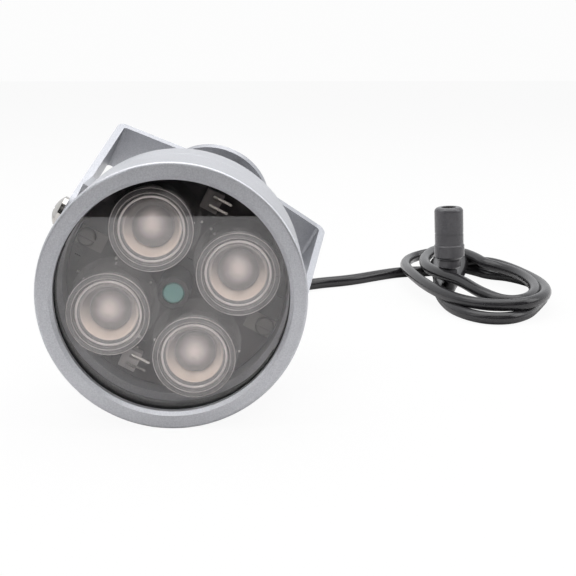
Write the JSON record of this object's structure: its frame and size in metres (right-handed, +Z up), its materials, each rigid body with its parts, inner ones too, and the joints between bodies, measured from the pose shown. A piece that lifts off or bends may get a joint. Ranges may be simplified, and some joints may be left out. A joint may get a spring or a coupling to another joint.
{
  "type": "infrared illuminator",
  "caption": "Round silver infrared illuminator with clear bell lenses behind a flat window, a folded U bracket on side pivots, a gland and a black cord that ends in an inline power socket.",
  "frame": {"origin": "on the table, under the middle of the box round lamp and bracket (cord left out)", "axes": "+Z up, -Y out of the lamp's window, +X to the right seen from the front"},
  "size_m": [0.1749, 0.2207, 0.0724],
  "materials": {
    "silver_barrel": "silver lacquer with a fine grain on die-cast metal",
    "silver_shell": "silver lacquer on die-cast metal",
    "bracket_silver": "silver lacquer on folded sheet",
    "window_glass": "clear flat glass",
    "seal_rubber": "black rubber",
    "black_ring": "black plastic",
    "board_dark": "circuit board under black solder mask",
    "lens_clear": "clear acrylic lens",
    "emitter_resin": "clear resin over the emitter chips",
    "reflector_white": "cream white moulded reflector cup",
    "collar_black": "black plastic collar",
    "sensor_teal": "teal resin of the light sensor",
    "terminal_grey": "light grey plastic",
    "pin_metal": "tinned metal",
    "chip_dark": "small surface components",
    "spacer_brass": "brass spacer",
    "choke_ferrite": "dark ferrite",
    "capacitor_can": "plain aluminium can",
    "lead_red": "insulated leads",
    "screw_steel": "bright plated screws",
    "gland_black": "black moulded nylon",
    "cord_black": "dark flexible cord sheath",
    "socket_black": "dark moulded socket",
    "contact_metal": "plated contact"
  },
  "bodies": {
    "housing": {"front_barrel": "silver_barrel", "rear_shell": "silver_shell", "front_window": "window_glass", "window_gasket": "seal_rubber", "sealing_ring": "seal_rubber", "gland_seal": "seal_rubber", "gland_bush": "seal_rubber", "retaining_ring": "black_ring", "lamp_board": "board_dark", "driver_board": "board_dark", "lens_1": "lens_clear", "lens_2": "lens_clear", "lens_3": "lens_clear", "lens_4": "lens_clear", "emitter_1": "emitter_resin", "emitter_2": "emitter_resin", "emitter_3": "emitter_resin", "emitter_4": "emitter_resin", "reflector_1": "reflector_white", "reflector_2": "reflector_white", "reflector_3": "reflector_white", "reflector_4": "reflector_white", "sensor_collar": "collar_black", "light_sensor": "sensor_teal", "terminal_block_upper": "terminal_grey", "terminal_block_lower": "terminal_grey", "terminal_pins": "pin_metal", "screw_tabs": "pin_metal", "surface_parts": "chip_dark", "board_spacers": "spacer_brass", "choke": "choke_ferrite", "capacitor": "capacitor_can", "supply_leads": "lead_red", "board_screws": "screw_steel", "pivot_screw_left": "screw_steel", "pivot_screw_right": "screw_steel", "gland_body": "gland_black", "gland_lock_nut": "gland_black", "gland_cap": "gland_black", "cord_tube": "cord_black", "cord_coil": "cord_black", "socket_body": "socket_black", "socket_relief": "socket_black", "socket_sleeve": "contact_metal", "socket_pin": "contact_metal"},
    "bracket": {"bracket": "bracket_silver"}
  },
  "joints": [
    {"name": "bracket_tilt", "type": "hinge", "parent": "housing", "child": "bracket", "pos_m": [-0.00385, -0.00631, 0.034], "axis": [0.8829, 0, -0.4695], "range_deg": [-23, 80]}
  ]
}
